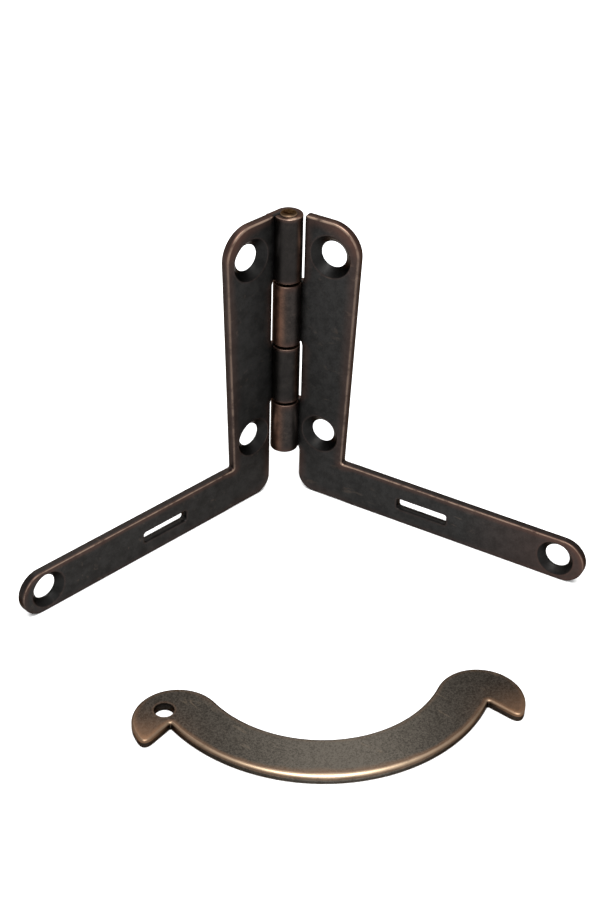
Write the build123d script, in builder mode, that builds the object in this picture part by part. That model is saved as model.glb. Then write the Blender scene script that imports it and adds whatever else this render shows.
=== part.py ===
"""Scissor hinge: two stamped and rolled L-shaped leaves on a headed pin, with a loose curved stay.

Millimetres. The origin is on the pin's axis at floor level, +Z runs up the pin, and the fixed leaf
points along -X with its screw face towards -Y.
"""
import math
import os

from build123d import *

# Sheet and turning joint
SHEET = 1.0
PIN_DIAMETER = 1.2
PIN_CLEARANCE = 0.02
PIN_HEAD_DIAMETER = 1.9
PIN_HEAD_HEIGHT = 0.25
PIN_END_PLAY = 0.05
BARREL_BOTTOM = 5.7
KNUCKLE_SEAMS = (12.3, 19.8, 27.85)
KNUCKLE_GAP = 0.35
SEAM_GAP = 0.1
KNUCKLE_CHAMFER = 0.12
OPENING_ANGLE = 105.0

# Leaf outline, with u running along the leaf from the pin's axis
LEAF_HEIGHT = 36.0
INNER_EDGE = 1.62
UPRIGHT_WIDTH_TOP = 8.65
UPRIGHT_WIDTH_FOOT = 7.4
SHOULDER_RADIUS = 3.6
HEEL_RADIUS = 2.0
ARM_LENGTH = 38.05
ARM_WIDTH = 5.3
EDGE_BEVEL = 0.2

# Screw holes as u, height, bore and countersink diameters, and the stay's slot
UPPER_HOLE = (4.95, 31.78, 3.1, 4.95)
LOWER_HOLE = (4.35, 8.45, 2.8, 4.55)
TIP_HOLE = (34.65, ARM_WIDTH / 2, 2.9, 4.25)
SINK_ANGLE = 90
SLOT_START = 14.8
SLOT_LENGTH = 6.3
SLOT_HEIGHT = 1.35
SLOT_LEVEL = 2.5
SLOT_CORNER = 0.3

# Quadrant stay, about the centre of its arc
STAY_THICKNESS = 1.0
STAY_INNER_RADIUS = 13.3
STAY_WIDTH = 5.4
STAY_HEAD_RADIUS = 4.6
STAY_HEAD_ANGLE = 30.0
STAY_BEAK_REACH = 22.85
STAY_BEAK_ANGLE = 33.0
STAY_BEAK_RADIUS = 0.75
STAY_NOTCH_RADIUS = 0.2
STAY_HOLE_DIAMETER = 2.0
STAY_HOLE_OFFSET = (-1.2, 1.5)
STAY_EDGE_RADIUS = 0.45
STAY_CLEARANCE = 0.7

# Worked out from the driving dimensions
roll_inner = PIN_DIAMETER / 2 + PIN_CLEARANCE
roll_outer = roll_inner + SHEET
plate_front = roll_inner
plate_back = roll_outer
tip_radius = ARM_WIDTH / 2
tip_centre = ARM_LENGTH - tip_radius
knuckle_bottoms = (BARREL_BOTTOM, *(seam + KNUCKLE_GAP / 2 for seam in KNUCKLE_SEAMS))
knuckle_tops = (*(seam - KNUCKLE_GAP / 2 for seam in KNUCKLE_SEAMS), LEAF_HEIGHT)
sweep_radius = math.hypot(ARM_LENGTH, plate_back)
head_reach = STAY_INNER_RADIUS + STAY_HEAD_RADIUS
stay_outer = STAY_INNER_RADIUS + STAY_WIDTH


def polar(radius, degrees):
    """Point at a radius and angle in a sketch."""
    angle = math.radians(degrees)
    return radius * math.cos(angle), radius * math.sin(angle)


def make_plate(side):
    """The flat L of a leaf, with its shoulder, heel and round tip, and the screw face's rim eased by the punch."""
    with BuildPart() as plate:
        with BuildSketch(Plane.XZ.offset(-plate_back)):
            with BuildLine():
                Polyline(
                    (side * INNER_EDGE, 0),
                    (side * tip_centre, 0),
                    (side * tip_centre, ARM_WIDTH),
                    (side * UPRIGHT_WIDTH_FOOT, ARM_WIDTH),
                    (side * UPRIGHT_WIDTH_TOP, LEAF_HEIGHT),
                    (side * INNER_EDGE, LEAF_HEIGHT),
                    close=True,
                )
            make_face()
            heel = vertices().sort_by_distance((side * INNER_EDGE, 0))[0]
            fillet(heel, HEEL_RADIUS)
            shoulder = vertices().sort_by_distance((side * UPRIGHT_WIDTH_TOP, LEAF_HEIGHT))[0]
            fillet(shoulder, SHOULDER_RADIUS)
            with Locations((side * tip_centre, ARM_WIDTH / 2)):
                Circle(tip_radius)
        extrude(amount=SHEET)
        front_rim = edges().filter_by_position(Axis.Y, plate_front - 0.01, plate_front + 0.01)
        chamfer(front_rim.filter_by(lambda edge: abs(edge.center().X) > INNER_EDGE + 0.01), EDGE_BEVEL)
    return plate.part


def make_knuckle(side, index):
    """One rolled knuckle: the sheet leaves the plate's back, wraps the pin and ends at the plate's front."""
    bottom, top = knuckle_bottoms[index], knuckle_tops[index]
    strip = INNER_EDGE + 2 * EDGE_BEVEL
    seam = plate_front - SEAM_GAP
    with BuildPart() as knuckle:
        with BuildSketch(Plane.XY.offset(bottom)):
            Circle(roll_outer)
            Circle(roll_inner, mode=Mode.SUBTRACT)
            with Locations((side * roll_outer / 2, (seam + plate_back) / 2)):
                Rectangle(roll_outer, plate_back - seam, mode=Mode.SUBTRACT)
            with Locations((side * strip / 2, (plate_front + plate_back) / 2)):
                Rectangle(strip, SHEET)
        extrude(amount=top - bottom)
        ends = edges().filter_by(GeomType.CIRCLE).filter_by(lambda edge: edge.radius > roll_inner + SHEET / 2)
        chamfer(ends, KNUCKLE_CHAMFER)
    return knuckle.part


def make_leaf(side, knuckles):
    """A leaf in the hinge's flat position, pointing along side x X, with its holes cut from the screw face."""
    screw_face = Plane.XZ.offset(-plate_front)
    with BuildPart() as leaf:
        add(make_plate(side))
        for index in knuckles:
            add(make_knuckle(side, index))
        for u, height, bore, sink in (UPPER_HOLE, LOWER_HOLE, TIP_HOLE):
            with Locations(screw_face.location * Pos(side * u, height)):
                CounterSinkHole(bore / 2, sink / 2, SHEET, SINK_ANGLE)
        with BuildSketch(screw_face):
            with Locations((side * (SLOT_START + SLOT_LENGTH / 2), SLOT_LEVEL)):
                RectangleRounded(SLOT_LENGTH, SLOT_HEIGHT, SLOT_CORNER)
        extrude(amount=-SHEET, mode=Mode.SUBTRACT)
    return leaf.part


def make_pin():
    """The pin, with a low bevelled head closed over each end of the barrel."""
    pin_bottom = BARREL_BOTTOM - PIN_END_PLAY
    with BuildPart() as pin:
        with BuildSketch(Plane.XY.offset(pin_bottom)):
            Circle(PIN_DIAMETER / 2)
        extrude(amount=LEAF_HEIGHT - pin_bottom)
        for level, height in ((LEAF_HEIGHT, PIN_HEAD_HEIGHT), (pin_bottom, -PIN_HEAD_HEIGHT)):
            with BuildSketch(Plane.XY.offset(level)):
                Circle(PIN_HEAD_DIAMETER / 2)
            extrude(amount=height)
        crowns = edges().filter_by(GeomType.CIRCLE).sort_by(Axis.Z)
        chamfer((crowns[0], crowns[-1]), PIN_HEAD_HEIGHT * 0.7)
    return pin.part


def make_stay():
    """The flat curved stay: an arc whose two ends turn out into hooked heads, one of them with a hole."""
    head = Vector(*polar(head_reach, -STAY_HEAD_ANGLE))
    beak = Vector(*polar(STAY_BEAK_REACH, -STAY_BEAK_ANGLE))
    to_beak = beak - head
    blend_angle = 180 - STAY_HEAD_ANGLE
    towards_beak = math.degrees(math.atan2(to_beak.Y, to_beak.X))
    touch_angle = towards_beak + math.degrees(math.acos(STAY_HEAD_RADIUS / to_beak.length))

    def on_head(degrees):
        return head + Vector(*polar(STAY_HEAD_RADIUS, degrees))

    with BuildPart() as stay:
        with BuildSketch():
            with BuildLine():
                middle = -45 - STAY_HEAD_ANGLE / 2
                ThreePointArc(
                    (0, -STAY_INNER_RADIUS),
                    polar(STAY_INNER_RADIUS, middle),
                    polar(STAY_INNER_RADIUS, -STAY_HEAD_ANGLE),
                )
                ThreePointArc(
                    on_head(blend_angle),
                    on_head((blend_angle + touch_angle) / 2),
                    on_head(touch_angle),
                )
                notch = Vector(*polar(stay_outer, -STAY_HEAD_ANGLE))
                Polyline(on_head(touch_angle), beak, notch)
                ThreePointArc(notch, polar(stay_outer, middle), (0, -stay_outer))
                mirror(about=Plane.YZ)
            make_face()
            for tip, radius in ((beak, STAY_BEAK_RADIUS), (notch, STAY_NOTCH_RADIUS)):
                for mirrored in (tip, Vector(-tip.X, tip.Y)):
                    fillet(vertices().sort_by_distance(mirrored)[0], radius)
        extrude(amount=STAY_THICKNESS)
        fillet(edges().group_by(Axis.Z)[-1], STAY_EDGE_RADIUS)
        with Locations((STAY_HOLE_OFFSET[0] - head.X, STAY_HOLE_OFFSET[1] + head.Y, STAY_THICKNESS)):
            Hole(STAY_HOLE_DIAMETER / 2)
    return stay.part


def stay_distance():
    """Distance from the pin to the stay's arc centre that keeps both heads out of the swinging leaf's way."""
    head_x, head_y = polar(head_reach, -STAY_HEAD_ANGLE)
    clear = sweep_radius + STAY_CLEARANCE + STAY_HEAD_RADIUS
    return math.sqrt(clear**2 - head_x**2) + head_y


fixed_leaf = make_leaf(-1, (1, 3))
swing_leaf = make_leaf(1, (0, 2)).rotate(Axis.Z, OPENING_ANGLE - 180)
hinge_pin = make_pin()

# The stay lies flat on the floor, on the line that halves the opening.
bisector = 180 + OPENING_ANGLE / 2
stay_x, stay_y = polar(stay_distance(), bisector)
quadrant_stay = Pos(stay_x, stay_y) * Rot(0, 0, bisector - 270) * make_stay()

os.makedirs("parts", exist_ok=True)
nodes = {
    "fixed_leaf": (fixed_leaf, Color(0.16, 0.13, 0.12)),
    "swing_leaf": (swing_leaf, Color(0.16, 0.13, 0.12)),
    "hinge_pin": (hinge_pin, Color(0.28, 0.2, 0.16)),
    "quadrant_stay": (quadrant_stay, Color(0.24, 0.2, 0.17)),
}
for name, (solid, colour) in nodes.items():
    solid.label = name
    solid.color = colour
    export_step(solid, f"parts/{name}.step")
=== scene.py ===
import itertools
import math

import bmesh
import bpy
import numpy as np
from mathutils import Matrix
from mathutils.geometry import delaunay_2d_cdt


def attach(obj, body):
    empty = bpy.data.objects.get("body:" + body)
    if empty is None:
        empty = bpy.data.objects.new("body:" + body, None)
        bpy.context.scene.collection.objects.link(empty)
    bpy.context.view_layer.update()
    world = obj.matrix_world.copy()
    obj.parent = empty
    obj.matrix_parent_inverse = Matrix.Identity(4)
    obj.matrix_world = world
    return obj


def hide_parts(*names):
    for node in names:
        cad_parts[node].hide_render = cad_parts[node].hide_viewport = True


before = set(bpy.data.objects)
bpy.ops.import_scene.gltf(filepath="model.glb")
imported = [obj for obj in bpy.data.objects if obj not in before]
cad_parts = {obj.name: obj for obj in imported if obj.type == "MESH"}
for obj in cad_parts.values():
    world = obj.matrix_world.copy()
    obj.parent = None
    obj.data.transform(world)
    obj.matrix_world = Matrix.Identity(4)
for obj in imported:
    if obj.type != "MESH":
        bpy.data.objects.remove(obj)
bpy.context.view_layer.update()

# The fixed leaf is one stamping of 1 mm steel sheet: an upright, a foot arm and two knuckles.
# The punch rounds its rims, the screw holes are countersunk, and the knuckles are rolled from the
# same sheet. It is plated in antique copper, darkened, and rubbed bright again along its edges.
# Its rims also carry painted highlight, brightest on edges that face up, and its cut edges and
# knuckles carry painted shade.
MM = 0.001
SHEET = 1.0
PIN_BORE = 0.62
LEAF_HEIGHT = 36.0
INNER_EDGE = 1.62
UPRIGHT_TOP = 8.65
UPRIGHT_FOOT = 7.4
ARM_LENGTH = 38.05
ARM_WIDTH = 5.3
HEEL_RADIUS = 2.0
TIP_RADIUS = 2.649
CROTCH_RADIUS = 0.18
TOP_CORNER_RADIUS = 0.35
SHOULDER_RADIUS = 3.6
SCREW_HOLES = ((4.95, 31.78, 3.1, 4.95), (4.35, 8.45, 2.8, 4.55), (34.65, ARM_WIDTH / 2, 2.9, 4.25))
SLOT_START = 14.8
SLOT_LENGTH = 6.3
SLOT_LEVEL = 2.5
SLOT_HEIGHT = 1.35
SLOT_CORNER = 0.3
BARREL_BOTTOM = 5.7
KNUCKLE_SEAMS = (12.3, 19.8, 27.85)
KNUCKLE_GAP = 0.35
KNUCKLE_ROUND = 0.12
SEAM_LEVEL = 0.52
LEAF_RIM = 0.28
ARM_RIM = 0.16
UPRIGHT_RIM = 0.3
BACK_RIM = 0.2
JOINED_RIM = 0.012
JOINED_CORNER = 0.05
JOINED_FADE = (0.05, 0.55)
# Painted highlight and shade on the rims: besides real wear, edges that face up are bared most,
# upright edges a little and edges that face down not at all.
LEAF_WEAR_AND_HIGHLIGHT = (0.2, 0.0, -0.55)
UPRIGHT_UP = (6, 9)
UPRIGHT_ACROSS = (2.2, 3.7)
# Painted shade on the cut edges: how far the uprights' and the arms' edge walls are darkened.
UPRIGHT_WALL_SHADE = 0.3
ARM_ACROSS = (7, 9)
ARM_WALL_SHADE = 0.75
ARM_RIM_DIMMING = 0.3
ARM_RIM_DIMMING_ACROSS = (8, 10)
SHOULDER_BROWN = 0.55
SHOULDER_UP = (31, 36)
SHOULDER_ACROSS = (4, 7)
TIP_ACROSS = (23, 37)
LEAF_SPACING = 0.55
PATH_STEP = 0.1
FAR = 9.0

knuckle_bottoms = (BARREL_BOTTOM, *(seam + KNUCKLE_GAP / 2 for seam in KNUCKLE_SEAMS))
knuckle_tops = (*(seam - KNUCKLE_GAP / 2 for seam in KNUCKLE_SEAMS), LEAF_HEIGHT)
leaf_corners = (
    (INNER_EDGE, 0),
    (ARM_LENGTH, 0),
    (ARM_LENGTH, ARM_WIDTH),
    (UPRIGHT_FOOT, ARM_WIDTH),
    (UPRIGHT_TOP, LEAF_HEIGHT),
    (INNER_EDGE, LEAF_HEIGHT),
)


def ramp(values, low, high):
    """Straight rise from 0 at low to 1 at high, level outside."""
    return np.clip((values - low) / (high - low), 0, 1)


def even_path(points, step):
    """Closed path resampled at even steps of arc length. The inward normal is the tangent, by
    central difference, turned a quarter to the left, for a path that runs anticlockwise."""
    ring = np.vstack([points, points[:1]])
    length = np.r_[0, np.cumsum(np.linalg.norm(np.diff(ring, axis=0), axis=1))]
    at = np.linspace(0, length[-1], int(length[-1] / step), endpoint=False)
    path = np.stack([np.interp(at, length, ring[:, 0]), np.interp(at, length, ring[:, 1])], 1)
    tangent = np.roll(path, -1, 0) - np.roll(path, 1, 0)
    tangent /= np.linalg.norm(tangent, axis=1)[:, None]
    return path, np.stack([-tangent[:, 1], tangent[:, 0]], 1)


def rounded_outline(corners, radii, step, arc_count=25):
    """Closed path round a polygon: each corner of turn a is cut back by r tan(a / 2) along both
    runs and bridged by its arc of radius r. Returns points at even steps and their inward
    normals."""
    corners = np.array(corners, float)
    before = corners - np.roll(corners, 1, 0)
    after = np.roll(corners, -1, 0) - corners
    before /= np.linalg.norm(before, axis=1)[:, None]
    after /= np.linalg.norm(after, axis=1)[:, None]
    cross = before[:, 0] * after[:, 1] - before[:, 1] * after[:, 0]
    turn = np.arctan2(cross, (before * after).sum(1))
    radii = np.array(radii, float)
    start = corners - before * (radii * np.tan(abs(turn) / 2))[:, None]
    left = np.stack([-before[:, 1], before[:, 0]], 1)
    share = np.linspace(0, 1, arc_count) * turn[:, None]
    along = np.sin(abs(share)) * radii[:, None]
    aside = (1 - np.cos(share)) * (radii * np.sign(turn))[:, None]
    arcs = start[:, None] + before[:, None] * along[..., None] + left[:, None] * aside[..., None]
    return even_path(arcs.reshape(-1, 2), step)


def circle_loop(centre, radius, count=96):
    """Anticlockwise circle and its inward normals."""
    angle = np.linspace(0, 2 * math.pi, count, endpoint=False)
    ray = np.stack([np.cos(angle), np.sin(angle)], 1)
    return np.array(centre) + radius * ray, -ray


def nearest(points, path, batch=400):
    """Distance from each point to the nearest point of a path, and that point's place in the path,
    worked out for a batch of points at once."""
    found = []
    for part in np.array_split(points, max(1, len(points) // batch)):
        gap = ((part[:, None] - path[None]) ** 2).sum(2)
        found.append(np.stack([np.sqrt(gap.min(1)), gap.argmin(1)]))
    distance, index = np.concatenate(found, 1)
    return distance, index.astype(int)


def ribbon(grid):
    """Quads between neighbouring rows of a grid of points whose rows are closed."""
    place = np.arange(grid.shape[0] * grid.shape[1]).reshape(grid.shape[:2])
    here, there = place[:-1], place[1:]
    return np.stack([here, np.roll(here, -1, 1), np.roll(there, -1, 1), there], 2).reshape(-1, 4)


def joined_parts(parts):
    """Points of all parts in one array, with each part's faces counted on from the parts before
    it."""
    counts = [len(points) for points, faces in parts]
    starts = np.cumsum([0] + counts[:-1])
    faces = [array + start for (points, arrays), start in zip(parts, starts) for array in arrays]
    return np.vstack([points for points, arrays in parts]), faces


def swept_wall(path, inward, inset, depth):
    """Grid of a closed path carried through a profile: row by row, the path moves by the inset
    along its inward normals and lies at the depth."""
    spots = path + inward * inset[..., None]
    return np.concatenate([spots, np.broadcast_to(depth, spots.shape[:2])[..., None]], 2)


def flat_face(loops, net):
    """Triangles that fill the first loop, less the other loops, by Delaunay's rule on the points of
    a net."""
    starts = np.cumsum([0] + [len(loop) for loop in loops])
    borders = [list(range(start, end)) for start, end in zip(starts[:-1], starts[1:])]
    filled = delaunay_2d_cdt(np.vstack(loops + [net]).tolist(), [], borders, 2, 1e-6)
    used, corners = np.unique(np.array(filled[2]), return_inverse=True)
    return np.array(filled[0])[used], corners.reshape(-1, 3)


def sheet_sag(spots, edges, depth=0.006, calm_reach=1.5):
    """Depth of the shallow waves in rolled sheet: two crossed sine waves of a few microns, which
    grow with the square of the distance from an edge up to calm_reach."""
    across, up = spots.T
    calm = np.clip(nearest(spots, edges)[0] / calm_reach, 0, 1) ** 2
    waves = 1 + 0.5 * np.sin(across * 0.9 + up * 0.35) + 0.5 * np.sin(up * 0.7 - across * 0.4)
    return depth * calm * waves


RIM_STEPS = 7
FACE_BORDER = 1.1
NET_MARGIN = 0.6
CUT_START = 0.15
CUT_REACH = 0.06
CROWN_LEAN = 1.8
CROWN_LEVEL = 0.53
MOUTH_DEPTH = 0.05
HAIR = 0.01


def plate_surface(path, inward, rim, thick, holes, spacing, free, wear_and_highlight, wall_shade):
    """A flat plate: its rim is a profile of two quarter circles, of radius rim in front and at most
    BACK_RIM behind, carried along the outline, each hole is a profile carried along its own loop,
    and both faces are filled between those walls by triangles on a hexagonal net.
    Returns points (across, up, depth), faces and marks. The mark rim is the distance from the crown
    of the nearest rim on the free stretch of the outline, as on a rim of the leaves' common radius.
    The mark hole is the distance to a hole's mouth. The darkening mark is 1 inside a hole, for the
    dark patina kept in the countersinks, and takes the wall shade on the cut edge, which is painted
    shade. The rubbing mark is how bare the rim is, with painted highlight where its edge faces up:
    the wear and highlight argument gives it as a constant and its change with the across and up
    parts of the inward normal."""
    front = np.broadcast_to(rim, len(path))
    back = np.minimum(front, BACK_RIM)
    quarter = np.linspace(0, math.pi / 2, RIM_STEPS)
    inset = np.r_[FACE_BORDER, 1 - np.sin(quarter)]
    fall = np.r_[0, 1 - np.cos(quarter)]
    cut = front + CUT_START * (thick - front - back)
    insets = np.vstack([np.outer(inset, front), np.zeros(len(path)), np.outer(inset[::-1], back)])
    depths = np.vstack([np.outer(fall, front), cut, thick - np.outer(fall[::-1], back)])
    walls = [swept_wall(path, inward, insets, depths)]
    for loop, normal, profile in holes:
        growth, level = np.array(profile).T
        walls.append(swept_wall(loop, normal, -growth[:, None], level[:, None]))
    across, up = np.meshgrid(
        np.arange(path[:, 0].min(), path[:, 0].max(), spacing),
        np.arange(path[:, 1].min(), path[:, 1].max(), spacing * math.sqrt(0.75)),
    )
    across[1::2] += spacing / 2
    net = np.stack([across.ravel(), up.ravel()], 1)
    parts = [(wall.reshape(-1, 3), [ribbon(wall)]) for wall in walls]
    for end, level, side in ((0, 0, 1), (-1, thick, -1)):
        loops = [wall[end, :, :2] for wall in walls]
        edges = np.vstack(loops)
        spots, triangles = flat_face(loops, net[nearest(net, edges)[0] > spacing * NET_MARGIN])
        parts.append((np.c_[spots, level + side * sheet_sag(spots, edges)], [triangles]))
    points, faces = joined_parts(parts)
    sunk = np.minimum(points[:, 2], thick - points[:, 2])
    aside, index = nearest(points[:, :2], path[free])
    radius = np.where(points[:, 2] < thick / 2, front[free][index], back[free][index])
    mouths = np.vstack([loop - normal * profile[2][0] for loop, normal, profile in holes])
    counts = [len(spots) for spots, arrays in parts]
    inside = np.repeat([0.0] + [1.0] * len(holes) + [0.0, 0.0], counts)
    # Painted shade on the cut edge, by the wall shade.
    cut_edge = (points[:, 2] > cut[free][index] - HAIR) * (aside < CUT_REACH)
    marks = {
        "rim": LEAF_RIM * np.maximum(np.hypot(aside, CROWN_LEAN * sunk) / radius - CROWN_LEVEL, 0),
        "hole": np.hypot(nearest(points[:, :2], mouths)[0], sunk),
        "patina_and_shade": np.maximum(inside * ramp(sunk, 0, MOUTH_DEPTH), cut_edge * wall_shade[free][index]),
        "rub_and_highlight": np.clip(wear_and_highlight[0] + inward[free][index] @ wear_and_highlight[1:], 0, 1),
        "roll": np.zeros(len(points)),
        "warm": np.zeros(len(points)),
    }
    return points, faces, marks


ROLL_STEPS = 65
HEIGHT_STEPS = 25
PAST_PLATE = (95, 165)
# Painted copper sheen on the knuckles, on top of some rubbed copper: the angle round the pin it
# faces, its strength low on the barrel, its rise per knuckle and its share all round.
SHEEN_AT = 266
SHEEN_LOWEST = 0.85
SHEEN_STEP = 0.1
SHEEN_ALL_ROUND = 0.06
# Painted highlight on the topmost end's front half: the angle it centres on and its spread.
TOP_SHEEN_AT = 308
TOP_SHEEN_SPREAD = 60
END_RIM = 0.04
END_RIM_SLOPE = 1.2
END_BAND = 0.45
END_RUB_AND_HIGHLIGHT = 0.6


def rolled_knuckle(index, share, spread, knuckle_shade):
    """One knuckle for a leaf on +X: a rounded rectangle of sheet thickness and knuckle height,
    carried from the plate along the tangent and then round the pin at its own radius, until each
    radius reaches the seam.
    Returns points, faces and marks: distance to its end corners, how much painted shade it takes,
    and a Gaussian band of copper on the side away from the plate, stronger higher up the barrel,
    which is painted copper sheen on top of some rubbed copper. The topmost end is made bright over
    its front half, by a Gaussian of the angle round the pin, as painted highlight."""
    bottom, top = knuckle_bottoms[index], knuckle_tops[index]
    inner, outer = PIN_BORE, PIN_BORE + SHEET
    corner = np.linspace(0, math.pi / 2, 5)
    curl, rise = KNUCKLE_ROUND * np.sin(corner), KNUCKLE_ROUND * np.cos(corner)
    low, high = bottom + KNUCKLE_ROUND, top - KNUCKLE_ROUND
    height = np.linspace(low, high, HEIGHT_STEPS)
    level = np.r_[
        height, high + curl[1:], high + curl[-2::-1],
        height[::-1], low - curl[1:], low - curl[-2::-1],
    ]
    from_inner = inner + KNUCKLE_ROUND - rise
    from_outer = outer - KNUCKLE_ROUND + rise
    radius = np.r_[
        np.full(HEIGHT_STEPS, outer), from_outer[1:], from_inner[-2::-1],
        np.full(HEIGHT_STEPS, inner), from_inner[1:], from_outer[-2::-1],
    ]
    run = np.linspace(INNER_EDGE, 0, 5)[:-1, None]
    straight = np.stack(np.broadcast_arrays(run, radius, level), 2)
    seam = 1.5 * math.pi + np.arcsin(SEAM_LEVEL / radius)
    angle = math.pi / 2 + np.linspace(0, 1, ROLL_STEPS)[:, None] * seam
    rolled = np.stack(np.broadcast_arrays(radius * np.cos(angle), radius * np.sin(angle), level), 2)
    grid = np.concatenate([straight, rolled])
    points = grid.reshape(-1, 3)
    ends = np.arange(len(points)).reshape(grid.shape[:2])[[0, -1]]
    facing = np.degrees(np.vstack([np.full(straight.shape[:2], math.pi / 2), angle])).ravel()
    past_plate = ramp(facing, *PAST_PLATE)
    rubbed_and_sheen = share * (SHEEN_LOWEST + SHEEN_STEP * index)
    topmost = top == LEAF_HEIGHT
    # Painted highlight: the topmost end is bared over its front half.
    end_sheen = topmost * np.exp(-(((facing - TOP_SHEEN_AT) / TOP_SHEEN_SPREAD) ** 2))
    to_end = np.minimum(points[:, 2] - bottom, top - points[:, 2])
    to_corner = np.hypot(to_end, (outer - np.tile(radius, len(grid))) * (1 - end_sheen))
    rim = END_RIM + END_RIM_SLOPE * to_corner
    # Painted copper sheen, on top of some rubbed copper, on the side away from the plate.
    sheen_side = np.exp(-(((facing - SHEEN_AT) / spread) ** 2))
    sheen_band = SHEEN_ALL_ROUND + (1 - SHEEN_ALL_ROUND) * sheen_side
    marks = {
        "rim": rim,
        "hole": np.full(len(points), FAR),
        # Painted shade: the knuckle is darkened past the plate, away from its ends.
        "patina_and_shade": knuckle_shade * past_plate * (rim > END_BAND),
        # The topmost end takes full rubbing and painted highlight; the ends in the seams take less,
        # as painted shade.
        "rub_and_highlight": np.full(len(points), 1.0 if topmost else END_RUB_AND_HIGHLIGHT),
        "roll": rubbed_and_sheen * past_plate * sheen_band,
        "warm": np.zeros(len(points)),
    }
    return points, [ribbon(grid), ends], marks


MERGE_DISTANCE = 2e-7
SHARP_ANGLE = 0.6


def make_piece(name, points, faces, marks):
    """A mesh object from points in millimetres, with its marks as attributes. Doubles are merged,
    and faces point outwards."""
    mesh = bpy.data.meshes.new(name)
    corners = itertools.chain.from_iterable(array.tolist() for array in faces)
    mesh.from_pydata((points * MM).tolist(), [], list(corners))
    for mark, values in marks.items():
        layer = mesh.attributes.new(mark, "FLOAT", "POINT")
        layer.data.foreach_set("value", values.astype(np.float32))
    work = bmesh.new()
    work.from_mesh(mesh)
    bmesh.ops.remove_doubles(work, verts=work.verts, dist=MERGE_DISTANCE)
    bmesh.ops.dissolve_degenerate(work, edges=work.edges, dist=MERGE_DISTANCE / 2)
    bmesh.ops.recalc_face_normals(work, faces=work.faces)
    work.to_mesh(mesh)
    work.free()
    mesh.shade_smooth()
    mesh.set_sharp_from_angle(angle=SHARP_ANGLE)
    piece = bpy.data.objects.new(name, mesh)
    bpy.context.scene.collection.objects.link(piece)
    return piece


def screw_hole(u, height, bore, sink):
    """Loop of a countersunk hole with its profile of growth and depth: an eased mouth, a cone of 45
    degrees and a bore with an eased exit."""
    wide = (sink - bore) / 2
    mouth = ((wide + 0.09, 0), (wide + 0.06, 0), (wide + 0.01, 0.02), (wide - 0.04, 0.06))
    cone = ((wide / 2, wide / 2 + 0.01), (0.03, wide), (0, wide + 0.04))
    exit_edge = ((0, SHEET - 0.08), (0.025, SHEET - 0.02), (0.08, SHEET), (0.11, SHEET))
    return (*circle_loop((u, height), bore / 2), mouth + cone + exit_edge)


def stay_slot():
    """Loop of the stay's slot with its profile of growth and depth: a straight wall, eased at both
    faces."""
    left, right = SLOT_START, SLOT_START + SLOT_LENGTH
    low, high = SLOT_LEVEL - SLOT_HEIGHT / 2, SLOT_LEVEL + SLOT_HEIGHT / 2
    corners = ((left, low), (right, low), (right, high), (left, high))
    mouth = ((0.14, 0), (0.11, 0), (0.05, 0.025), (0, 0.11))
    behind = tuple((growth, SHEET - depth) for growth, depth in reversed(mouth))
    return (*rounded_outline(corners, (SLOT_CORNER,) * 4, PATH_STEP), mouth + behind)


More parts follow.
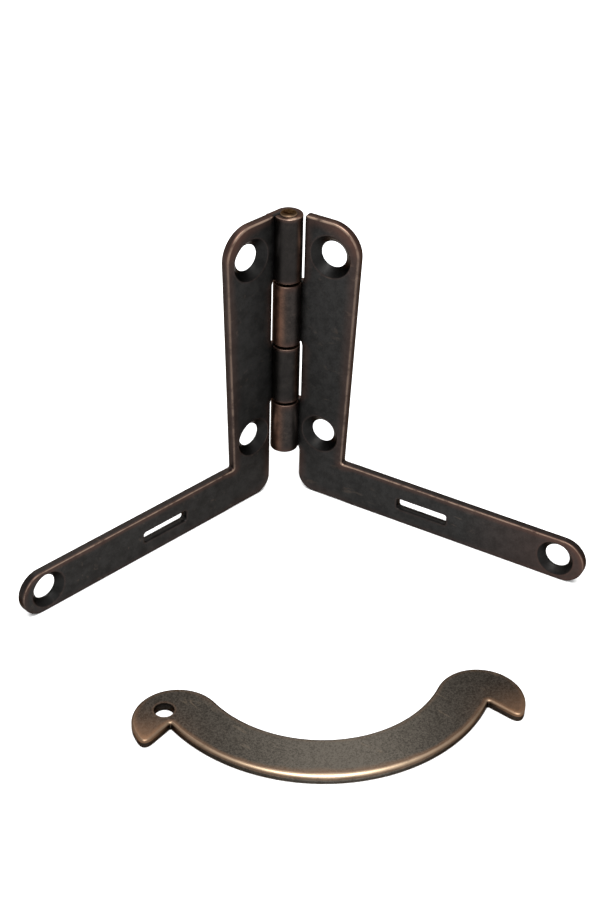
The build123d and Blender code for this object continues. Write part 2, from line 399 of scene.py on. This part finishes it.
def make_leaf(name, side, knuckles, turn, share, spread, knuckle_shade, tip_light):
    """A leaf: plate and knuckles on +X, mirrored for side -1, then turned about the pin. The rims
    narrow to JOINED_RIM where the plate runs on into a knuckle. share and spread say how strong and
    over how many degrees its knuckles' painted copper sheen is, on top of some rubbed copper, the
    knuckle shade how much painted shade they take elsewhere, and the tip light how much the arm's
    tip is painted lighter and browner, as by light falling on it."""
    top_corner = JOINED_CORNER if 3 in knuckles else TOP_CORNER_RADIUS
    radii = (HEEL_RADIUS, TIP_RADIUS, TIP_RADIUS, CROTCH_RADIUS, SHOULDER_RADIUS, top_corner)
    path, inward = rounded_outline(leaf_corners, radii, PATH_STEP)
    u, height = path.T
    joined = np.zeros(len(path))
    for index in knuckles:
        beyond = np.maximum(knuckle_bottoms[index] - height, height - knuckle_tops[index])
        reach = np.hypot(np.maximum(u - INNER_EDGE, 0), np.maximum(beyond, 0))
        joined = np.maximum(joined, 1 - ramp(reach, *JOINED_FADE))
    upright = ramp(height, *UPRIGHT_UP) * ramp(u, *UPRIGHT_ACROSS)
    arm = ramp(u, *ARM_ACROSS) * (height < ARM_WIDTH + 0.5)
    rim = LEAF_RIM + upright * (UPRIGHT_RIM - LEAF_RIM) + arm * (ARM_RIM - LEAF_RIM)
    rim = rim * (1 - joined) + JOINED_RIM * joined
    holes = [screw_hole(*hole) for hole in SCREW_HOLES] + [stay_slot()]
    # Painted shade on the cut edge walls, darker along the arm.
    wall_shade = UPRIGHT_WALL_SHADE + arm * (ARM_WALL_SHADE - UPRIGHT_WALL_SHADE)
    plate, faces, marks = plate_surface(
        path, inward, rim, SHEET, holes, LEAF_SPACING, joined < 0.5, LEAF_WEAR_AND_HIGHLIGHT, wall_shade
    )
    across, up, depth = plate.T
    shoulder = SHOULDER_BROWN * ramp(up, *SHOULDER_UP) * ramp(across, *SHOULDER_ACROSS)
    # The shoulder is browner. The tip light paints the arm's tip lighter and browner, standing in
    # for light that falls on the swinging arm.
    marks["warm"] = np.maximum(shoulder, tip_light * ramp(across, *TIP_ACROSS))
    # The arm's rims are bared less, with less painted highlight, than the upright's.
    marks["rub_and_highlight"] *= 1 - ARM_RIM_DIMMING * ramp(across, *ARM_RIM_DIMMING_ACROSS)
    pieces = [(np.c_[across, PIN_BORE + depth, up], faces, marks)]
    pieces += [rolled_knuckle(index, share, spread, knuckle_shade) for index in knuckles]
    points, faces = joined_parts([(spots, arrays) for spots, arrays, more in pieces])
    marks = {mark: np.concatenate([more[mark] for spots, arrays, more in pieces]) for mark in marks}
    c, s = math.cos(turn), math.sin(turn)
    points = points * (side, 1, 1) @ np.array([[c, s, 0], [-s, c, 0], [0, 0, 1]])
    return make_piece(name, points, faces, marks)


class Shade:
    """A shader socket: + - * on it add Math nodes, and node() adds any other node to its tree."""

    def __init__(self, tree, link=None):
        self.tree, self.link = tree, link

    def node(self, kind, sockets, out=0, **settings):
        """A new node of a kind: its settings, then the values or links of its sockets. Gives one
        output."""
        made = self.tree.nodes.new(kind)
        for name, value in settings.items():
            setattr(made, name, value)
        for name, value in sockets.items():
            if isinstance(value, Shade):
                self.tree.links.new(value.link, made.inputs[name])
            else:
                made.inputs[name].default_value = value
        return Shade(self.tree, made.outputs[out]) if made.outputs else made

    def maths(self, operation, one, two):
        """A Math node on two values."""
        return self.node("ShaderNodeMath", {0: one, 1: two}, operation=operation)

    def __add__(self, other):
        return self.maths("ADD", self, other)

    def __sub__(self, other):
        return self.maths("SUBTRACT", self, other)

    def __rsub__(self, other):
        return self.maths("SUBTRACT", other, self)

    def __mul__(self, other):
        return self.maths("MULTIPLY", self, other)

    __radd__ = __add__
    __rmul__ = __mul__

    def ease(self, low, high):
        """Smooth step from 0 at low to 1 at high."""
        sockets = {"Value": self, "From Min": low, "From Max": high}
        return self.node("ShaderNodeMapRange", sockets, interpolation_type="SMOOTHSTEP")

    def mix(self, one, two):
        """Colour that goes from one to two as this value goes from 0 to 1."""
        return self.node("ShaderNodeMix", {0: self, 6: one, 7: two}, out=2, data_type="RGBA")


def scaled(colour, factor):
    """A colour times a factor, opaque."""
    return (*(part * factor for part in colour), 1)


def antique_copper(
    name, patina, brown, copper, bright, brown_reach, bare_reach, breaks, fine, soft, speck, gloss
):
    """Darkened copper plate. patina is the dark skin, brown its thin parts near edges, copper the
    colour of the painted copper sheen on the rolls, on top of some rubbed copper, and of the stay's
    paler middle, and bright the bare rims, rubbed copper that also carries painted highlight. The
    reaches are those of the brown and of the bare band from a rim's crown in mm, and breaks is the
    level of the mottling below which a rim isn't bare. fine is the grain's share in the mottling,
    soft and speck say how soft and how strong it is, and gloss is the lowest roughness."""
    material = bpy.data.materials.new(name)
    material.use_nodes = True
    tree = material.node_tree
    tree.nodes.clear()
    kit = Shade(tree)
    place = kit.node("ShaderNodeTexCoord", {}, out="Object")

    def mark(attribute):
        """One of the piece's own marks."""
        return kit.node("ShaderNodeAttribute", {}, out="Fac", attribute_name=attribute)

    def noise(scale, detail, roughness, distortion=0.0, vector=place):
        """Noise between 0 and 1, with about scale lumps to the metre."""
        sockets = {"Vector": vector, "Scale": scale, "Detail": detail}
        sockets |= {"Roughness": roughness, "Distortion": distortion}
        return kit.node("ShaderNodeTexNoise", sockets)

    rim, patina_and_shade, warm, rub_and_highlight = mark("rim"), mark("patina_and_shade"), mark("warm"), mark("rub_and_highlight")
    cloud = noise(scale=260, detail=4, roughness=0.6, distortion=0.4)
    patch = noise(scale=900, detail=5, roughness=0.6)
    coarse_grain = noise(scale=4200, detail=3, roughness=0.6)
    grain = 0.5 * coarse_grain + 0.5 * noise(scale=9500, detail=2, roughness=0.5)
    drawn_sockets = {"Vector": place, "Rotation": (0.5, 0.3, 0.7), "Scale": (1.0, 0.3, 1.0)}
    drawn = kit.node("ShaderNodeMapping", drawn_sockets)
    scratch = noise(scale=1500, detail=2, roughness=0.5, distortion=0.6, vector=drawn)
    scuff = scratch.ease(0.6, 0.74) * cloud.ease(0.42, 0.62)

    uneven = 0.4 + 1.2 * cloud
    near_rim = 1 - rim.ease(0.05, brown_reach * uneven)
    # The brown and the bare bands follow the rubbing mark: painted highlight on edges that face up,
    # painted shade on edges that face down.
    band = near_rim * (0.55 + 0.7 * patch) * (0.2 + 0.45 * rub_and_highlight.ease(0.0, 0.4))
    bare = (1 - rim.ease(0.0, bare_reach * uneven)) * patch.ease(breaks - 0.15, breaks + 0.15) * rub_and_highlight
    ring = 0.2 * (1 - mark("hole").ease(0.0, 0.3))
    tint = kit.maths("MINIMUM", band + ring + warm * (0.4 + 1.2 * patch), 1.0) * (1 - 0.9 * patina_and_shade)

    mottle = ((1 - fine) * patch + fine * grain).ease(0.5 - soft, 0.5 + soft)
    skin = mottle.mix(scaled(patina, 1 - speck), scaled(patina, 1 + speck))
    # The roll mark paints copper sheen on the knuckles, on top of some rubbed copper, and makes the
    # stay paler in its middle.
    skin_and_copper = (mark("roll") * (0.55 + 0.6 * mottle)).mix(skin, scaled(copper, 1))
    thin = tint.mix(skin_and_copper, scaled(brown, 1))
    scuffed = (scuff * 0.05).mix(thin, scaled(bright, 1))
    rubbed_and_sheen = (bare * (1 - patina_and_shade) * (1 - 0.6 * warm)).mix(scuffed, scaled(bright, 1))
    # The darkening mark darkens towards a dark patina: the patina kept in the countersinks, and
    # painted shade on cut edges and knuckles.
    colour = (patina_and_shade * 0.55).mix(rubbed_and_sheen, scaled(patina, 0.3))

    ripple = 0.6 * noise(scale=1500, detail=4, roughness=0.6) + 0.4 * grain
    bump = kit.node("ShaderNodeBump", {"Strength": 0.1, "Distance": 0.00006, "Height": ripple})
    finish = {
        "Base Color": colour,
        "Metallic": 1.0,
        "Roughness": gloss + 0.16 * patch - 0.04 * bare,
        "Normal": bump,
        "Specular Tint": (0.45, 0.42, 0.4, 1),
    }
    kit.node("ShaderNodeOutputMaterial", {"Surface": kit.node("ShaderNodeBsdfPrincipled", finish)})
    return material


leaf_finish = antique_copper(
    "antique_copper_leaf",
    patina=(0.022, 0.0215, 0.021),
    brown=(0.062, 0.034, 0.027),
    copper=(0.2, 0.102, 0.066),
    bright=(0.42, 0.3, 0.225),
    brown_reach=1.3,
    bare_reach=0.15,
    breaks=0.4,
    fine=0.5,
    soft=0.12,
    speck=0.25,
    gloss=0.34,
)
fixed_leaf = make_leaf(
    "fixed_leaf_plate",
    side=-1,
    knuckles=(1, 3),
    turn=0.0,
    share=0.48,
    spread=9.0,
    knuckle_shade=0.85,
    tip_light=0.0,
)
fixed_leaf.data.materials.append(leaf_finish)
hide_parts("fixed_leaf")
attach(fixed_leaf, "fixed")

# The swinging leaf is the same stamping, mirrored, with the second and the lowest knuckle.
# It hangs on the pin between the fixed leaf's knuckles and stands open by 105 degrees.
OPENING_ANGLE = 105.0

swing_leaf = make_leaf(
    "swing_leaf_plate",
    side=1,
    knuckles=(0, 2),
    turn=math.radians(OPENING_ANGLE - 180),
    share=0.74,
    spread=21.0,
    knuckle_shade=0.3,
    # Painted light: this arm's tip is made lighter and browner.
    tip_light=0.38,
)
swing_leaf.data.materials.append(leaf_finish)
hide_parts("swing_leaf")
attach(swing_leaf, "swing")

# The pin is a drawn steel wire through all four knuckles, pushed in before plating.
# Both ends are closed over into low heads, rubbed bright where they stand proud of the barrel.
PIN_RADIUS = 0.6
PIN_BOTTOM = 5.65
PIN_HEAD_RADIUS = 0.94
PIN_HEAD_FLAT = 0.5
PIN_HEAD_HEIGHT = 0.245
PIN_RUB = 0.7

crown = np.linspace(0, math.pi / 2, 6)
head_radius = PIN_HEAD_FLAT + (PIN_HEAD_RADIUS - PIN_HEAD_FLAT) * np.cos(crown)
head_rise = PIN_HEAD_HEIGHT * np.sin(crown)
pin_radius = np.r_[0, head_radius[::-1], PIN_RADIUS, PIN_RADIUS, head_radius, 0]
pin_low = np.r_[PIN_BOTTOM - PIN_HEAD_HEIGHT, PIN_BOTTOM - head_rise[::-1], PIN_BOTTOM]
pin_high = np.r_[LEAF_HEIGHT, LEAF_HEIGHT + head_rise, LEAF_HEIGHT + PIN_HEAD_HEIGHT]


def turned_surface(radius, height, count=64):
    """Grid of revolution about the pin's axis: a profile of radius and height, carried round by the
    angle."""
    angle = np.linspace(0, 2 * math.pi, count, endpoint=False)
    sides = np.outer(radius, np.cos(angle)), np.outer(radius, np.sin(angle))
    return np.stack([*sides, np.broadcast_to(height[:, None], (len(radius), count))], 2)


pin_grid = turned_surface(pin_radius, np.r_[pin_low, pin_high])
pin_points = pin_grid.reshape(-1, 3)
from_axis = np.hypot(pin_points[:, 0], pin_points[:, 1])
pin_marks = {
    "rim": np.maximum(PIN_HEAD_RADIUS - from_axis, 0),
    "hole": np.full(len(pin_points), FAR),
    "patina_and_shade": np.zeros(len(pin_points)),
    "rub_and_highlight": np.full(len(pin_points), PIN_RUB),
    "roll": np.zeros(len(pin_points)),
    "warm": np.zeros(len(pin_points)),
}
pin = make_piece("hinge_pin_turned", pin_points, [ribbon(pin_grid)], pin_marks)
pin_finish = antique_copper(
    "antique_copper_pin",
    patina=(0.03, 0.019, 0.011),
    brown=(0.06, 0.036, 0.02),
    copper=(0.13, 0.062, 0.035),
    bright=(0.3, 0.2, 0.13),
    brown_reach=0.5,
    bare_reach=0.12,
    breaks=0.25,
    fine=0.3,
    soft=0.08,
    speck=0.7,
    gloss=0.36,
)
pin.data.materials.append(pin_finish)
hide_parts("hinge_pin")
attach(pin, "fixed")

# The stay is a flat bar of 1 mm steel, blanked to an arc with a hooked head at each end.
# It slides through the leaves' slots when the hinge is mounted, and lies loose on the floor here,
# just outside the swinging arm's reach. Its upper front edge is rubbed bright and carries painted
# highlight, strongest at the middle of the front arc; its cut edge carries painted shade.
STAY_THICKNESS = 1.0
STAY_INNER = 13.3
STAY_OUTER = 18.7
STAY_HEAD = 4.6
STAY_HEAD_ANGLE = -30.0
STAY_BEAK_REACH = 22.85
STAY_BEAK_ANGLE = -33.0
STAY_BEAK_EASE = 1.65
STAY_NOTCH_EASE = 0.22
STAY_HOLE_OFFSET = (-1.2, 1.5)
STAY_HOLE_RADIUS = 1.0
STAY_RIM = 0.6
STAY_END_RIM = 0.3
# Painted highlight on the rims: the front arc's rim is bared, the back arc's not at all.
STAY_WEAR_AND_HIGHLIGHT = (0.25, 0.0, 0.45)
STAY_WALL_SHADE = 0.9
STAY_MIDDLE_REACH = 9
STAY_PALE_REACH = 10
STAY_BEAK_BROWN = 0.6
STAY_BEAK_BROWN_REACH = 3.5
STAY_SPACING = 0.5
STAY_CLEARANCE = 0.7


def arc_points(centre, radius, start, end, count=80):
    """Points on an arc, from the start to the end angle in degrees."""
    angle = np.radians(np.linspace(start, end, count))
    return np.array(centre) + radius * np.stack([np.cos(angle), np.sin(angle)], 1)


def polar(radius, degrees):
    """Point at a radius and angle from the arc's centre."""
    return arc_points((0, 0), radius, degrees, degrees, 1)[0]


def eased_corner(before, corner, after, reach):
    """Corner between two runs, replaced by a parabola that leaves each run at the given reach from
    it."""
    one = corner + (before - corner) / np.linalg.norm(before - corner) * reach
    two = corner + (after - corner) / np.linalg.norm(after - corner) * reach
    t = np.linspace(0, 1, 12)[:, None]
    return (1 - t) ** 2 * one + 2 * t * (1 - t) * corner + t**2 * two


head = polar(STAY_INNER + STAY_HEAD, STAY_HEAD_ANGLE)
beak = polar(STAY_BEAK_REACH, STAY_BEAK_ANGLE)
notch = polar(STAY_OUTER, STAY_HEAD_ANGLE)
to_beak = beak - head
touch = math.atan2(to_beak[1], to_beak[0]) + math.acos(STAY_HEAD / np.linalg.norm(to_beak))
inner_arc = arc_points((0, 0), STAY_INNER, -90, STAY_HEAD_ANGLE)
head_arc = arc_points(head, STAY_HEAD, 180 + STAY_HEAD_ANGLE, math.degrees(touch))
outer_arc = arc_points((0, 0), STAY_OUTER, STAY_HEAD_ANGLE - 0.8, -90)
beak_curve = eased_corner(head_arc[-1], beak, notch, STAY_BEAK_EASE)
notch_curve = eased_corner(beak, notch, outer_arc[0], STAY_NOTCH_EASE)
half = np.vstack([inner_arc, head_arc[1:], beak_curve, notch_curve, outer_arc[1:]])
outline = np.vstack([half, (half * (-1, 1))[::-1][1:-1]])
path, inward = even_path(outline[::-1], PATH_STEP)

hole_centre = (STAY_HOLE_OFFSET[0] - head[0], STAY_HOLE_OFFSET[1] + head[1])
hole_mouth = ((0.13, 0), (0.1, 0), (0.045, 0.02), (0, 0.09))
hole_exit = tuple((growth, STAY_THICKNESS - depth) for growth, depth in reversed(hole_mouth))
stay_hole = (*circle_loop(hole_centre, STAY_HOLE_RADIUS, 72), hole_mouth + hole_exit)
everywhere = np.full(len(path), True)
outward = ramp(np.hypot(*path.T), STAY_INNER, STAY_OUTER)
front_edge = np.exp(-((path[:, 0] / STAY_MIDDLE_REACH) ** 2)) * outward
rim = STAY_END_RIM + (STAY_RIM - STAY_END_RIM) * front_edge
# Painted shade on the bar's cut edge.
wall_shade = np.full(len(path), STAY_WALL_SHADE)
plate, faces, marks = plate_surface(
    path, inward, rim, STAY_THICKNESS, [stay_hole], STAY_SPACING, everywhere, STAY_WEAR_AND_HIGHLIGHT, wall_shade
)
across, along, depth = plate.T
from_beak = np.hypot(abs(across) - beak[0], along - beak[1])
marks["roll"] = np.exp(-((across / STAY_PALE_REACH) ** 2))
marks["warm"] = STAY_BEAK_BROWN * np.exp(-((from_beak / STAY_BEAK_BROWN_REACH) ** 2))
# Painted highlight: the rim is bared most in the middle of the bar.
marks["rub_and_highlight"] *= 0.35 + 0.65 * np.exp(-((across / STAY_MIDDLE_REACH) ** 2))

bisector = math.radians(180 + OPENING_ANGLE / 2)
head_clear = math.hypot(ARM_LENGTH, PIN_BORE + SHEET) + STAY_CLEARANCE + STAY_HEAD
distance = math.sqrt(head_clear**2 - head[0] ** 2) + head[1]
ahead = np.array([math.cos(bisector), math.sin(bisector)])
rightward = np.array([-ahead[1], ahead[0]])
spots = np.outer(across, rightward) + np.outer(distance - along, ahead)
stay = make_piece("quadrant_stay_bar", np.c_[spots, STAY_THICKNESS - depth], faces, marks)
stay_finish = antique_copper(
    "antique_copper_stay",
    patina=(0.0195, 0.017, 0.0145),
    brown=(0.13, 0.072, 0.042),
    copper=(0.085, 0.075, 0.062),
    bright=(0.6, 0.45, 0.31),
    brown_reach=0.55,
    bare_reach=0.17,
    breaks=0.25,
    fine=0.8,
    soft=0.1,
    speck=0.55,
    gloss=0.33,
)
stay.data.materials.append(stay_finish)
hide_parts("quadrant_stay")
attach(stay, "fixed")

# The floor is a plain sheet of white paper that runs out of the picture on all sides.
# It is only a stage: the hinge's arms and the stay rest on it.
FLOOR_SIZE = 20.0

bpy.ops.mesh.primitive_plane_add(size=FLOOR_SIZE)
floor = bpy.context.object
floor.name = "floor"
paper = bpy.data.materials.new("white_paper")
paper.use_nodes = True
paper_shader = paper.node_tree.nodes["Principled BSDF"]
paper_shader.inputs["Base Color"].default_value = (0.9, 0.9, 0.9, 1)
paper_shader.inputs["Roughness"].default_value = 0.9
paper_shader.inputs["Specular IOR Level"].default_value = 0.1
floor.data.materials.append(paper)

# Soft studio light: an even white room, with a large panel over the camera and one behind the
# hinge, which draw the bright lines on its upper edges.
VIEW_TURN = math.radians(44.458)

world = bpy.data.worlds.new("white_room")
world.use_nodes = True
world.node_tree.nodes["Background"].inputs["Color"].default_value = (1, 1, 1, 1)
world.node_tree.nodes["Background"].inputs["Strength"].default_value = 1.0
bpy.context.scene.world = world


def placed(columns, origin):
    """Matrix with three axes as its columns and an origin in metres."""
    return Matrix(np.vstack([np.column_stack([*columns, origin]), [0, 0, 0, 1]]).tolist())


def light_panel(name, azimuth, elevation, distance, size, power):
    """Square panel that faces the hinge, at an azimuth from the viewing direction, in metres and
    watts."""
    light = bpy.data.lights.new(name, "AREA")
    light.shape, light.size, light.energy = "SQUARE", size, power
    turn, rise = VIEW_TURN + math.radians(azimuth), math.radians(elevation)
    flat = math.cos(rise)
    ray = np.array([math.cos(turn) * flat, math.sin(turn) * flat, math.sin(rise)])
    side = np.array([-math.sin(turn), math.cos(turn), 0])
    lamp = bpy.data.objects.new(name, light)
    lamp.matrix_world = placed((side, np.cross(ray, side), ray), ray * distance)
    bpy.context.scene.collection.objects.link(lamp)


light_panel("top_panel", azimuth=180, elevation=68, distance=0.8, size=0.5, power=8)
light_panel("back_panel", azimuth=15, elevation=45, distance=0.9, size=0.6, power=3)

# The camera stands where the photograph was taken from: its place, pan, tilt and roll were fitted
# to the picture, in a frame of 600 x 900 whose longer side is 36 mm of sensor.
CAMERA_PLACE = (-128.37, -128.62, 130.116)
CAMERA_TILT = math.radians(-34.552)
CAMERA_ROLL = math.radians(1.533)
CAMERA_LENS = 75.1

camera_data = bpy.data.cameras.new("photo_camera")
camera_data.sensor_fit = "VERTICAL"
camera_data.sensor_height = 36.0
camera_data.lens = CAMERA_LENS
camera_data.clip_start = 0.01
camera = bpy.data.objects.new("photo_camera", camera_data)
level_ahead = np.array([math.cos(VIEW_TURN), math.sin(VIEW_TURN), 0])
forward = level_ahead * math.cos(CAMERA_TILT) + np.array([0, 0, math.sin(CAMERA_TILT)])
level_right = np.array([math.sin(VIEW_TURN), -math.cos(VIEW_TURN), 0])
level_up = np.cross(level_right, forward)
right = math.cos(CAMERA_ROLL) * level_right + math.sin(CAMERA_ROLL) * level_up
above = math.cos(CAMERA_ROLL) * level_up - math.sin(CAMERA_ROLL) * level_right
camera.matrix_world = placed((right, above, -forward), np.array(CAMERA_PLACE) * MM)
bpy.context.scene.collection.objects.link(camera)
bpy.context.scene.camera = camera
bpy.context.scene.view_settings.view_transform = "Standard"
